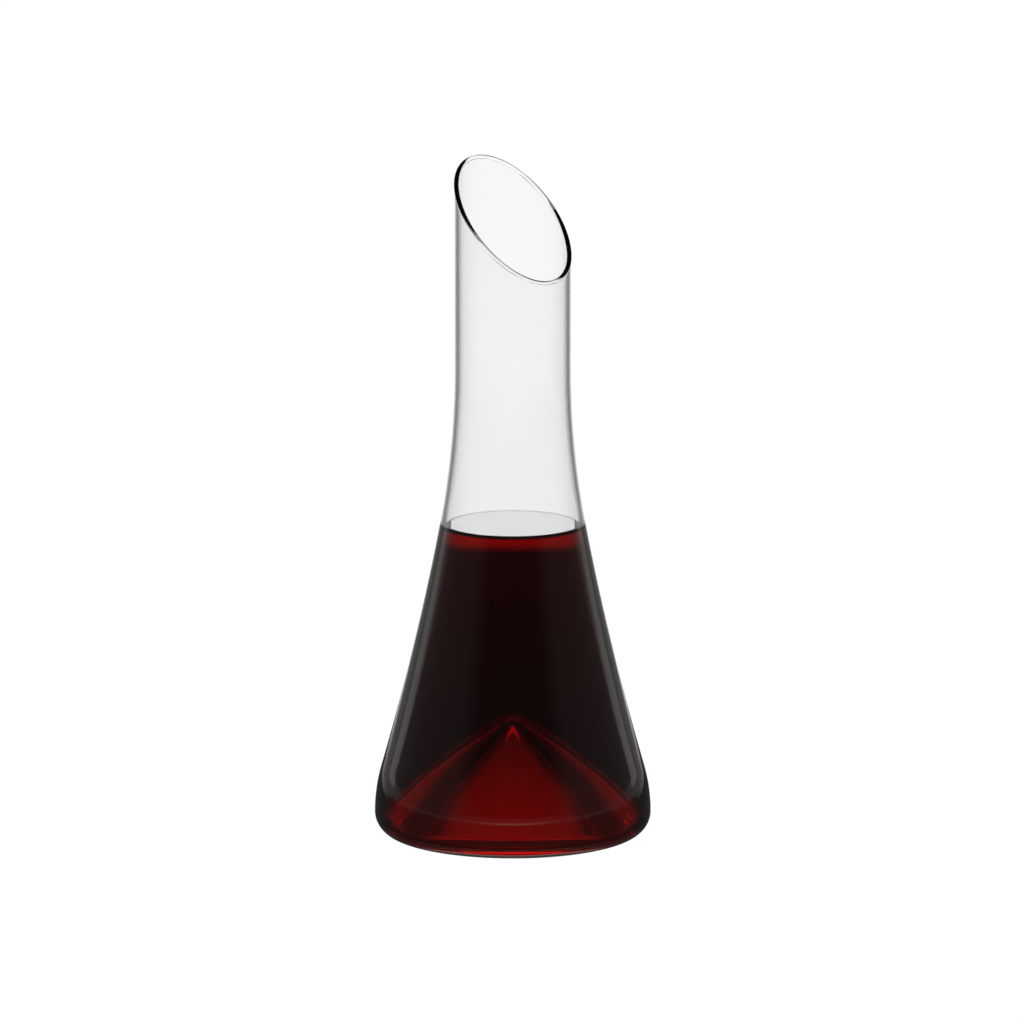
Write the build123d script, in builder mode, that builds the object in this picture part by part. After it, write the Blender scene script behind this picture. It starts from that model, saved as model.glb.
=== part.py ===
from build123d import *
import os
from math import cos, radians, sin

# A blown glass wine decanter with its fill of red wine.
#
# The glass is one body of revolution: foot ring, punt, heel, skirt, waist and neck. Its mouth is cut
# on a slant and melted back into a round lip. The wine takes the inner shape of the glass up to the
# foot of the neck.
#
# Millimetres, +Z up. The origin is the centre of the plane that the foot ring stands on, and the low
# side of the mouth faces +X. Both profiles are drawn in the XZ plane and turned about Z.

# Outside of the glass, from the foot ring up. The side is a chain of tangent arcs.
heel_radius = 9.9  # quarter round between the foot ring and the widest circle
skirt_radius = 72.0  # convex arc above the widest circle
skirt_angle = 16.0
waist_radius = 1218.0  # long, nearly straight concave arc
waist_angle = 5.1
flare_radius = 380.0  # concave arc that brings the side back to upright
neck_radius = 25.3
neck_top = 320.0  # well above the slanted cut

# Thickness of the glass.
wall = 1.8
floor_thickness = 5.0  # between the foot ring and the wine
punt_wall = 3.5

# Punt, the cone pushed up into the base, as the wine sees it from the tip down.
punt_tip_radius = 7.0
punt_tip_angle = 42.0  # slope where the round tip ends
punt_flank_radius = 218.0
punt_flank_angle = 15.0  # by this much the flank grows steeper towards the floor
punt_root_radius = 5.0
foot_round = 3.0  # inner edge of the foot ring

# Mouth.
lip_height = 271.0  # of the cut plane on the axis
lip_tilt = 45.0
lip_bead_radius = 1.05

# Wine.
wine_level = 137.4

flare_angle = skirt_angle - waist_angle
punt_root_angle = punt_tip_angle + punt_flank_angle
inner_heel_radius = heel_radius - floor_thickness  # so that both quarter rounds end level


def along(radius, from_angle, to_angle):
    """Length of an arc along the line that its angles are measured from."""
    return radius * abs(sin(radians(from_angle)) - sin(radians(to_angle)))


def across(radius, from_angle, to_angle):
    """Length of an arc across the line that its angles are measured from."""
    return radius * abs(cos(radians(from_angle)) - cos(radians(to_angle)))


# The side's angles are measured from upright, and the punt's from level.
neck_foot = (
    heel_radius
    + along(skirt_radius, 0, skirt_angle)
    + along(waist_radius, skirt_angle, flare_angle)
    + along(flare_radius, flare_angle, 0)
)
widest_radius = (
    neck_radius
    + across(skirt_radius, 0, skirt_angle)
    + across(waist_radius, skirt_angle, flare_angle)
    + across(flare_radius, flare_angle, 0)
)
foot_radius = widest_radius - heel_radius  # outer edge of the flat foot ring
punt_height = (
    floor_thickness
    + across(punt_tip_radius, 0, punt_tip_angle)
    + across(punt_flank_radius, punt_tip_angle, punt_root_angle)
    + across(punt_root_radius, punt_root_angle, 0)
)
hollow_height = punt_height - punt_wall


def side_arcs(start, inset):
    """Skirt, waist and flare from the widest circle up to the neck, set in from the outside."""
    skirt = JernArc(start, (0, 1), skirt_radius - inset, skirt_angle)
    waist = JernArc(skirt @ 1, skirt % 1, waist_radius + inset, -waist_angle)
    return JernArc(waist @ 1, waist % 1, flare_radius + inset, -flare_angle)


def cone_arcs(height, inset):
    """Tip and flank of the punt from the axis down, set in from the side that the wine wets."""
    tip = JernArc((0, height), (1, 0), punt_tip_radius - inset, -punt_tip_angle)
    return JernArc(tip @ 1, tip % 1, punt_flank_radius - inset, -punt_flank_angle)


def cavity_side():
    """Floor and wall that the wine wets, from the tip of the punt up to the neck."""
    flank = cone_arcs(punt_height, 0)
    root = JernArc(flank @ 1, flank % 1, punt_root_radius, punt_root_angle)
    heel_start = (widest_radius - wall - inner_heel_radius, floor_thickness)
    Line(root @ 1, heel_start)
    heel = JernArc(heel_start, (1, 0), inner_heel_radius, 90)
    return side_arcs(heel @ 1, wall)


# The slant faces up and towards +X, so its low side is at +X.
lip_plane = Plane(
    origin=(0, 0, lip_height),
    x_dir=(0, 1, 0),
    z_dir=(sin(radians(lip_tilt)), 0, cos(radians(lip_tilt))),
)

with BuildPart() as glass_vessel:
    with BuildSketch(Plane.XZ):
        with BuildLine():
            # under the punt, down to the foot ring
            under = cone_arcs(hollow_height, punt_wall)
            to_foot = (under @ 1).Y - across(foot_round, punt_root_angle, 0)
            edge = PolarLine(under @ 1, to_foot / sin(radians(punt_root_angle)), -punt_root_angle)
            ring = JernArc(edge @ 1, edge % 1, foot_round, punt_root_angle)
            # outside, from the foot ring up to the neck
            Line(ring @ 1, (foot_radius, 0))
            heel = JernArc((foot_radius, 0), (1, 0), heel_radius, 90)
            outer_flare = side_arcs(heel @ 1, 0)
            # neck, and the cavity back down to the tip of the punt
            inner_flare = cavity_side()
            inner_top = ((inner_flare @ 1).X, neck_top)
            outer_top = ((outer_flare @ 1).X, neck_top)
            Polyline(outer_flare @ 1, outer_top, inner_top, inner_flare @ 1)
            Line((0, punt_height), (0, hollow_height))
        make_face()
    revolve(axis=Axis.Z)
    split(bisect_by=lip_plane, keep=Keep.BOTTOM)
    # The slanted cut is melted back into a round lip. Its centre line is an ellipse, swept in two
    # halves: from its lowest point up to its highest, and from there down again.
    lip_radius = neck_radius - wall / 2
    for half_start in (-90, 90):
        with BuildLine(lip_plane) as half_lip:
            EllipticalCenterArc(
                (0, 0),
                lip_radius,
                lip_radius / cos(radians(lip_tilt)),
                start_angle=half_start,
                arc_size=180,
            )
        with BuildSketch(half_lip.line ^ 0):
            Circle(lip_bead_radius)
        sweep(path=half_lip.line)

with BuildPart() as red_wine:
    with BuildSketch(Plane.XZ):
        with BuildLine():
            inner_flare = cavity_side()
            Polyline(inner_flare @ 1, (0, neck_foot), (0, punt_height))
        make_face()
    revolve(axis=Axis.Z)
    split(bisect_by=Plane.XY.offset(wine_level), keep=Keep.BOTTOM)

glass_vessel.part.label = "glass_vessel"
red_wine.part.label = "red_wine"

os.makedirs("parts", exist_ok=True)
export_step(glass_vessel.part, "parts/glass_vessel.step")
export_step(red_wine.part, "parts/red_wine.step")

litre = 1e6  # cubic millimetres
print(f"wine {red_wine.part.volume / litre:.3f} l, glass {glass_vessel.part.volume / litre:.3f} l")
print(f"height {glass_vessel.part.bounding_box().max.Z:.2f} mm, neck foot {neck_foot:.2f} mm")
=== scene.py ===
from math import asin, atan2, ceil, cos, degrees, pi, radians, sin, sqrt, tan

import bpy
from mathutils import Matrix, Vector


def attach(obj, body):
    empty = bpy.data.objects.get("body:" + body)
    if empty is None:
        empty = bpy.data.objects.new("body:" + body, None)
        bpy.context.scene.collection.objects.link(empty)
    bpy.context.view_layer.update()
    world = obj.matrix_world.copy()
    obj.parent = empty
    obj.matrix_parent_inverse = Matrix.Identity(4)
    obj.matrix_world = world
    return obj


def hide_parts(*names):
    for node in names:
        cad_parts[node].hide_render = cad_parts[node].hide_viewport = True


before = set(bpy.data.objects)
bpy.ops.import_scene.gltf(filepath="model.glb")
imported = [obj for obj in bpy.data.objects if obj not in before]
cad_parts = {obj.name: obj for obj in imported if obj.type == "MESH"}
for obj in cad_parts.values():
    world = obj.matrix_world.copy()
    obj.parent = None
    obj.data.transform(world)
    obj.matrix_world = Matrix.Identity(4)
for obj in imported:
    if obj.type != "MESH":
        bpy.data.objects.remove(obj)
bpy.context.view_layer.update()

# A clear glass decanter with a slanted mouth and its fill of red wine. Both pieces are turned about
# Z from outlines of straight lines and tangent arcs, in metres, in the CAD model's frame: the foot
# ring stands on z = 0 and the low side of the mouth is at +X.

MM = 0.001

# ---- Sizes, the same as the CAD model's -----------------------------------------------------------

# Outside of the glass, from the foot ring up.
heel_radius = 9.9 * MM
skirt_radius, skirt_angle = 72.0 * MM, 16.0
waist_radius, waist_angle = 1218.0 * MM, 5.1
flare_radius = 380.0 * MM
flare_angle = skirt_angle - waist_angle
neck_radius = 25.3 * MM

# Thickness of the glass.
wall = 1.8 * MM
floor_thickness = 5.0 * MM
punt_wall = 3.5 * MM

# Punt, as the wine sees it from the tip down.
punt_tip_radius, punt_tip_angle = 7.0 * MM, 42.0
punt_flank_radius, punt_flank_angle = 218.0 * MM, 15.0
punt_root_radius, punt_root_angle = 5.0 * MM, punt_tip_angle + punt_flank_angle
foot_round = 3.0 * MM
inner_heel_radius = heel_radius - floor_thickness

# Mouth: a bead along the slanted cut, with a small hollow round between it and the wall.
lip_height = 271.0 * MM
lip_tilt = 45.0
lip_bead_radius = 1.05 * MM
lip_blend_radius = 0.8 * MM
lip_radius = neck_radius - wall / 2

# Wine.
wine_level = 137.4 * MM
wine_overlap = 0.15 * MM  # how far the wine's mesh reaches into the glass, so that no air is between

# Density of the meshes.
columns = 240
row_length = 1.6 * MM
row_turn = 4.0  # degrees


def across(radius, from_angle, to_angle):
    """Length of an arc across the line that its angles, in degrees, are measured from."""
    return radius * abs(cos(radians(from_angle)) - cos(radians(to_angle)))


widest_radius = (
    neck_radius
    + across(skirt_radius, 0, skirt_angle)
    + across(waist_radius, skirt_angle, flare_angle)
    + across(flare_radius, flare_angle, 0)
)
foot_radius = widest_radius - heel_radius
punt_height = (
    floor_thickness
    + across(punt_tip_radius, 0, punt_tip_angle)
    + across(punt_flank_radius, punt_tip_angle, punt_root_angle)
    + across(punt_root_radius, punt_root_angle, 0)
)


# ---- Outlines -------------------------------------------------------------------------------------


class Outline:
    """A smooth line of points (across, up), drawn by going straight on and by tangent arcs."""

    def __init__(self, start, heading):
        self.points = [start]
        self.heading = radians(heading)

    def line(self, length):
        steps = max(1, ceil(length / row_length))
        x, y = self.points[-1]
        for step in range(1, steps + 1):
            reach = length * step / steps
            self.points.append((x + reach * cos(self.heading), y + reach * sin(self.heading)))
        return self

    def arc(self, radius, turn):
        """A turn in degrees, to the left if it is positive."""
        steps = max(ceil(abs(turn) / row_turn), ceil(radius * radians(abs(turn)) / row_length))
        side = 1 if turn > 0 else -1
        x, y = self.points[-1]
        centre = (x - side * radius * sin(self.heading), y + side * radius * cos(self.heading))
        start = self.heading
        for step in range(1, steps + 1):
            self.heading = start + radians(turn) * step / steps
            here = (
                centre[0] + side * radius * sin(self.heading),
                centre[1] - side * radius * cos(self.heading),
            )
            self.points.append(here)
        return self

    def side(self, inset, flare_turn=flare_angle):
        """Skirt, waist and flare of the decanter, set in from the outside."""
        self.arc(skirt_radius - inset, skirt_angle)
        self.arc(waist_radius + inset, -waist_angle)
        return self.arc(flare_radius + inset, -flare_turn)


def outside_outline():
    """From under the tip of the punt, round the foot ring and the heel, up to the neck."""
    line = Outline((0, punt_height - punt_wall), 0)
    line.arc(punt_tip_radius - punt_wall, -punt_tip_angle)
    line.arc(punt_flank_radius - punt_wall, -punt_flank_angle)
    to_foot = line.points[-1][1] - across(foot_round, punt_root_angle, 0)
    line.line(to_foot / sin(radians(punt_root_angle)))
    line.arc(foot_round, punt_root_angle)
    line.line(foot_radius - line.points[-1][0])
    line.arc(heel_radius, 90)
    return line.side(0)


def cavity_outline(overlap, flare_turn):
    """From the tip of the punt over the floor and up the wall, reaching into the glass by overlap."""
    line = Outline((0, punt_height - overlap), 0)
    line.arc(punt_tip_radius - overlap, -punt_tip_angle)
    line.arc(punt_flank_radius - overlap, -punt_flank_angle)
    line.arc(punt_root_radius + overlap, punt_root_angle)
    line.line(widest_radius - wall - inner_heel_radius - line.points[-1][0])
    line.arc(inner_heel_radius + overlap, 90)
    return line.side(wall - overlap, flare_turn)


def lip_outline():
    """Section of the lip, from the neck's outer wall over the bead to its inner wall."""
    drop = sqrt((lip_bead_radius + lip_blend_radius) ** 2 - (wall / 2 + lip_blend_radius) ** 2)
    blend_turn = degrees(atan2(drop, wall / 2 + lip_blend_radius))
    line = Outline((wall / 2, -drop), 90)
    line.arc(lip_blend_radius, -blend_turn)
    line.arc(lip_bead_radius, 180 + 2 * blend_turn)
    return line.arc(lip_blend_radius, -blend_turn)


# ---- Meshes ---------------------------------------------------------------------------------------
# A ring is one point (radius, angle, height) for each column.

angles = [2 * pi * column / columns for column in range(columns)]


def turned(points):
    """Rings of an outline turned about the axis."""
    return [[(radius, angle, height) for angle in angles] for radius, height in points]


def lip_ring(point):
    """Ring of a point of the lip's section, carried along the slanted ellipse."""
    sideways, up = point
    ring = []
    for angle in angles:
        climb = tan(radians(lip_tilt)) * sin(angle)
        stretch = sqrt(1 + climb**2)
        height = lip_height - lip_radius * cos(angle) * tan(radians(lip_tilt)) + up / stretch
        ring.append((lip_radius + sideways, angle - climb * up / stretch / lip_radius, height))
    return ring


def rings_between(first, last):
    """Rings on the cylinder between two rings of the same radius, both left out."""
    steps = ceil(max(abs(a[2] - b[2]) for a, b in zip(first, last)) / (2 * row_length))
    rings = []
    for step in range(1, steps):
        part = step / steps
        rings.append(
            [tuple(x + part * (y - x) for x, y in zip(a, b)) for a, b in zip(first, last)]
        )
    return rings


def closed_mesh(name, rings):
    """A closed smooth mesh through the rings, whose first and last ring lie on the axis."""
    points = [(0, 0, rings[0][0][2])]
    for ring in rings[1:-1]:
        points += [(radius * cos(angle), radius * sin(angle), z) for radius, angle, z in ring]
    points.append((0, 0, rings[-1][0][2]))
    top = len(points) - 1
    faces = []
    for column in range(columns):
        beside = (column + 1) % columns
        faces.append((0, 1 + beside, 1 + column))
        for row in range(len(rings) - 3):
            low, high = 1 + row * columns, 1 + (row + 1) * columns
            faces.append((low + column, low + beside, high + beside, high + column))
        faces.append((top - columns + column, top - columns + beside, top))
    mesh = bpy.data.meshes.new(name)
    mesh.from_pydata(points, [], faces)
    mesh.shade_smooth()
    piece = bpy.data.objects.new(name, mesh)
    bpy.context.scene.collection.objects.link(piece)
    return piece


def make_vessel():
    outside = turned(outside_outline().points)
    lip = [lip_ring(point) for point in lip_outline().points]
    inside = turned(reversed(cavity_outline(0, flare_angle).points))
    rings = outside + rings_between(outside[-1], lip[0])
    rings += lip + rings_between(lip[-1], inside[0]) + inside
    return closed_mesh("decanter_glass", rings)


def make_wine():
    neck_foot = outside_outline().points[-1][1]
    reach = flare_radius + wall - wine_overlap
    edge_radius = neck_radius + flare_radius - sqrt(reach**2 - (neck_foot - wine_level) ** 2)
    flare_turn = flare_angle - degrees(asin((neck_foot - wine_level) / reach))
    cavity = cavity_outline(wine_overlap, flare_turn)
    surface = Outline((0, wine_level), 0).line(edge_radius)
    return closed_mesh("wine_fill", turned(cavity.points[:-1] + surface.points[::-1]))


# ---- Materials ------------------------------------------------------------------------------------


def node_material(name):
    """A new material, with its node tree, its Principled shader and its output."""
    material = bpy.data.materials.new(name)
    material.use_nodes = True
    nodes = material.node_tree.nodes
    return material, material.node_tree, nodes["Principled BSDF"], nodes["Material Output"]


def set_inputs(node, **values):
    for name, value in values.items():
        node.inputs[name.replace("_", " ")].default_value = value


def absorb(tree, output, colour, density):
    """Absorption inside a closed piece. Each channel loses density * (1 - colour) per metre."""
    volume = tree.nodes.new("ShaderNodeVolumeAbsorption")
    set_inputs(volume, Color=(*colour, 1), Density=density)
    tree.links.new(volume.outputs["Volume"], output.inputs["Volume"])


def noise(tree, scale, detail):
    """A noise texture over the object's own coordinates."""
    place = tree.nodes.new("ShaderNodeTexCoord")
    texture = tree.nodes.new("ShaderNodeTexNoise")
    set_inputs(texture, Scale=scale, Detail=detail)
    tree.links.new(place.outputs["Object"], texture.inputs["Vector"])
    return texture


def glass_material():
    """Clear glass with the faint waviness of a blown and fire-polished wall."""
    material, tree, shader, output = node_material("blown_glass")
    set_inputs(shader, IOR=1.5, Transmission_Weight=1.0, Base_Color=(1, 1, 1, 1))
    wave = noise(tree, scale=22.0, detail=1.0)
    bump = tree.nodes.new("ShaderNodeBump")
    set_inputs(bump, Strength=1.0, Distance=0.006 * MM)
    tree.links.new(wave.outputs["Fac"], bump.inputs["Height"])
    tree.links.new(bump.outputs["Normal"], shader.inputs["Normal"])
    haze = noise(tree, scale=60.0, detail=3.0)
    spread = tree.nodes.new("ShaderNodeMapRange")
    set_inputs(spread, From_Min=0.45, From_Max=0.75, To_Min=0.0, To_Max=0.02)
    tree.links.new(haze.outputs["Fac"], spread.inputs["Value"])
    tree.links.new(spread.outputs["Result"], shader.inputs["Roughness"])
    absorb(tree, output, colour=(0.2, 0.75, 0.6), density=2.0)
    return material


def wine_material():
    """Red wine: nearly black in depth and ruby where it is thin."""
    material, tree, shader, output = node_material("still_wine")
    set_inputs(shader, IOR=1.34, Transmission_Weight=1.0, Roughness=0.0)
    set_inputs(shader, Specular_Tint=(0.15, 0.15, 0.15, 1))
    cloud = noise(tree, scale=18.0, detail=2.0)
    tint = tree.nodes.new("ShaderNodeMix")
    tint.data_type = "RGBA"
    tint.inputs["A"].default_value = (1.0, 0.97, 0.95, 1)
    tint.inputs["B"].default_value = (1.0, 1.0, 1.0, 1)
    tree.links.new(cloud.outputs["Fac"], tint.inputs["Factor"])
    tree.links.new(tint.outputs["Result"], shader.inputs["Base Color"])
    absorb(tree, output, colour=(0.973, 0.25, 0.0), density=1000.0)
    return material


# ---- Camera ---------------------------------------------------------------------------------------

view_azimuth = 50.0
view_elevation = 11.12
view_distance = 4.949
aim_height = 142.5 * MM
aim_left = 0.35 * MM
lens_length = 400.8  # millimetres, as is the sensor
sensor_width = 36.0


def make_camera():
    azimuth, elevation = radians(view_azimuth), radians(view_elevation)
    back = Vector(
        (sin(azimuth) * cos(elevation), -cos(azimuth) * cos(elevation), sin(elevation))
    )
    right = Vector((cos(azimuth), sin(azimuth), 0))
    data = bpy.data.cameras.new("camera")
    data.lens = lens_length
    data.sensor_width = sensor_width
    data.clip_start, data.clip_end = 0.1, 100
    camera = bpy.data.objects.new("camera", data)
    camera.location = Vector((0, 0, aim_height)) - right * aim_left + back * view_distance
    camera.rotation_mode = "QUATERNION"
    camera.rotation_quaternion = (-back).to_track_quat("-Z", "Y")
    bpy.context.scene.collection.objects.link(camera)
    bpy.context.scene.camera = camera


# ---- Studio ---------------------------------------------------------------------------------------
# The camera sees a plain white floor. Glass shows what stands round it, so the decanter itself sees
# a studio of its own, which the camera doesn't: ground with a dark oval of painted shade round the
# decanter and painted light beyond it in a few wide fields, a dim room, and a softbox low enough for
# the surface of the wine to mirror it.
# Clear glass looks bright before a bright field and takes its dark edges from the gaps beside it.
# The studio stays where it is when the camera moves. It faces the azimuth of the scene's own camera:
# in its own frame that camera is on the -Y side, and headings are measured from +Y, straight behind
# the decanter.

floor_radius = 8.8
floor_edge_height = 0.35  # the floor curves up at its edge
floor_gap = 0.2 * MM  # between the foot ring and the floor
floor_inner_radii = (0.001, 0.5)
floor_level = 1.03
studio_columns = 96  # round a whole circle

# A dark oval of painted shade round the decanter, on ground that only the glass sees.
shade_oval_half_width, shade_oval_half_depth = 0.202, 0.358
shade_oval_fade = 0.022  # from the edge of the dark oval of painted shade to the full brightness of the ground
shade_oval_level = 0.05
shade_oval_edge = [(shade_oval_half_depth, 0.0), (shade_oval_half_depth + shade_oval_fade, 1.0)]

# Each bright field is painted light on the ground, with a level by heading, in degrees, and a share of
# it by distance, in metres.
behind_levels = [(13, 1.0), (19, 0.4), (24, 0.22), (60, 0.2), (75, 0.1), (110, 0.08)]
near_levels = [(10, 0.95), (40, 0.3), (75, 0.0)]
near_reach = [*shade_oval_edge, (0.55, 1.0), (0.65, 0.0)]
far_levels = [(30, 0.0), (35, 0.45), (55, 0.45), (60, 0.0)]
far_reach = [(2.2, 0.0), (2.5, 1.0)]
front_levels = [(135, 0.0), (175, 0.4)]
front_reach = [(0.45, 0.0), (0.55, 1.0), (1.0, 1.0), (1.1, 0.0)]
side_levels = [(65, 0.0), (95, 0.2), (180, 0.2)]
side_reach = [(0.7, 0.0), (0.85, 1.0), (1.4, 1.0), (1.55, 0.0)]

room_radius = 9.0
room_bottom, room_top = -1.0, 9.0
room_behind = [(12, 1.0), (40, 0.0)]  # share of the rise, by heading in degrees
room_rise = [(5, 0.42), (14, 0.35), (24, 0.0)]  # level by elevation in degrees
room_dim = [(40, 0.1), (120, 0.08), (150, 0.03)]  # level by heading in degrees
world_level = 0.03

softbox_back = 1.0
softbox_half_width = 0.16
softbox_low, softbox_high = 0.318, 0.35
softbox_level = 2.9


def math_node(tree, operation, *values):
    """A math node whose inputs are numbers or other nodes' outputs."""
    node = tree.nodes.new("ShaderNodeMath")
    node.operation = operation
    for socket, value in zip(node.inputs, values):
        if isinstance(value, (int, float)):
            socket.default_value = value
        else:
            tree.links.new(value, socket)
    return node.outputs["Value"]


def curve_node(tree, value, stops):
    """A smooth curve through (input, output) stops."""
    low, high = stops[0][0], stops[-1][0]
    peak = max(level for _, level in stops)
    ramp = tree.nodes.new("ShaderNodeValToRGB")
    ramp.color_ramp.interpolation = "EASE"
    elements = ramp.color_ramp.elements
    while len(elements) < len(stops):
        elements.new(0.5)
    for element, (place, level) in zip(elements, stops):
        element.position = (place - low) / (high - low)
        element.color = (level / peak,) * 3 + (1,)
    spread = tree.nodes.new("ShaderNodeMapRange")
    set_inputs(spread, From_Min=low, From_Max=high)
    tree.links.new(value, spread.inputs["Value"])
    tree.links.new(spread.outputs["Result"], ramp.inputs["Fac"])
    return math_node(tree, "MULTIPLY", ramp.outputs["Color"], peak)


def light_material(name, brightness):
    """A self-lit material. Its brightness is one number, or brightness(tree, x, y, z) over the sheet."""
    material = bpy.data.materials.new(name)
    material.use_nodes = True
    material.cycles.emission_sampling = "NONE"
    tree = material.node_tree
    tree.nodes.clear()
    emission = tree.nodes.new("ShaderNodeEmission")
    output = tree.nodes.new("ShaderNodeOutputMaterial")
    tree.links.new(emission.outputs["Emission"], output.inputs["Surface"])
    if not callable(brightness):
        set_inputs(emission, Strength=brightness)
        return material
    place = tree.nodes.new("ShaderNodeTexCoord")
    split = tree.nodes.new("ShaderNodeSeparateXYZ")
    tree.links.new(place.outputs["Object"], split.inputs["Vector"])
    strength = brightness(tree, split.outputs["X"], split.outputs["Y"], split.outputs["Z"])
    tree.links.new(strength, emission.inputs["Strength"])
    return material


def distance_node(tree, x, y):
    """Distance from the axis, in metres."""
    squares = [math_node(tree, "MULTIPLY", side, side) for side in (x, y)]
    return math_node(tree, "SQRT", math_node(tree, "ADD", *squares))


def heading_node(tree, x, y):
    """Heading from straight behind the decanter, to either side, in radians."""
    return math_node(tree, "ARCTAN2", math_node(tree, "ABSOLUTE", x), y)


def degrees_curve(tree, angle, stops):
    """A curve over an angle, with its stops in degrees."""
    return curve_node(tree, angle, [(radians(place), level) for place, level in stops])


def ground_shade_and_light(tree, x, y, z):
    """A dark oval of painted shade round the decanter, and beyond it the brightest of the fields of
    painted light at each point of the ground.
    """
    heading = heading_node(tree, x, y)
    distance = distance_node(tree, x, y)
    widened = math_node(tree, "MULTIPLY", x, shade_oval_half_depth / shade_oval_half_width)
    from_shade_oval = distance_node(tree, widened, y)
    fields = [
        (behind_levels, distance, shade_oval_edge),
        (near_levels, from_shade_oval, near_reach),
        (far_levels, distance, far_reach),
        (front_levels, distance, front_reach),
        (side_levels, distance, side_reach),
    ]
    level = shade_oval_level
    for levels, reach, shares in fields:
        by_heading = degrees_curve(tree, heading, levels)
        by_reach = curve_node(tree, reach, shares)
        level = math_node(tree, "MAXIMUM", math_node(tree, "MULTIPLY", by_heading, by_reach), level)
    return level


def room_brightness(tree, x, y, z):
    """Lit a little behind the decanter, and dim elsewhere."""
    heading = heading_node(tree, x, y)
    behind = degrees_curve(tree, heading, room_behind)
    elevation = math_node(tree, "ARCTAN2", z, distance_node(tree, x, y))
    rise = degrees_curve(tree, elevation, room_rise)
    dim = degrees_curve(tree, heading, room_dim)
    return math_node(tree, "ADD", math_node(tree, "MULTIPLY", behind, rise), dim)


def sheet(name, rows, brightness):
    """A self-lit sheet through rows of points, with as many points in each row."""
    across_count = len(rows[0])
    faces = []
    for row in range(len(rows) - 1):
        for i in range(across_count - 1):
            corner = row * across_count + i
            faces.append((corner, corner + 1, corner + across_count + 1, corner + across_count))
    mesh = bpy.data.meshes.new(name)
    mesh.from_pydata([point for row in rows for point in row], [], faces)
    mesh.shade_smooth()
    mesh.materials.append(light_material(name + "_light", brightness))
    return bpy.data.objects.new(name, mesh)


def round_row(radius, z):
    """Points all the way round the decanter."""
    headings = [2 * pi * step / studio_columns for step in range(studio_columns + 1)]
    return [(radius * sin(heading), radius * cos(heading), z) for heading in headings]


def make_floor(name, brightness):
    bend = floor_edge_height
    rows = [round_row(radius, -floor_gap) for radius in (*floor_inner_radii, floor_radius - bend)]
    for turn in range(10, 91, 10):
        radius = floor_radius - bend + bend * sin(radians(turn))
        rows.append(round_row(radius, bend * (1 - cos(radians(turn))) - floor_gap))
    return sheet(name, rows, brightness)


def make_room():
    rows = [round_row(room_radius, z) for z in (room_bottom, room_top)]
    return sheet("room", rows, room_brightness)


def make_softbox():
    rows = [
        [(x, softbox_back, z) for x in (-softbox_half_width, softbox_half_width)]
        for z in (softbox_low, softbox_high)
    ]
    return sheet("softbox", rows, softbox_level)


def make_studio():
    floor = make_floor("floor", floor_level)
    for ray in ("diffuse", "glossy", "transmission", "volume_scatter", "shadow"):
        setattr(floor, "visible_" + ray, False)
    # Ground that only the glass sees: painted shade round the decanter, painted light beyond it.
    equipment = [make_floor("painted_ground", ground_shade_and_light), make_room(), make_softbox()]
    for hidden in equipment:
        hidden.visible_camera = False
    for backdrop in [floor, *equipment]:
        bpy.context.scene.collection.objects.link(backdrop)
        backdrop.rotation_euler.z = radians(view_azimuth)
    world = bpy.data.worlds.new("world")
    world.use_nodes = True
    set_inputs(world.node_tree.nodes["Background"], Color=(world_level, world_level, world_level, 1))
    bpy.context.scene.world = world


# ---- The scene ------------------------------------------------------------------------------------

make_camera()
make_studio()

vessel = make_vessel()
vessel.data.materials.append(glass_material())
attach(vessel, "root")
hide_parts("glass_vessel")

wine = make_wine()
wine.data.materials.append(wine_material())
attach(wine, "root")
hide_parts("red_wine")

scene = bpy.context.scene
scene.view_settings.view_transform = "Standard"
scene.cycles.max_bounces = 32
scene.cycles.transmission_bounces = 32
scene.cycles.glossy_bounces = 16
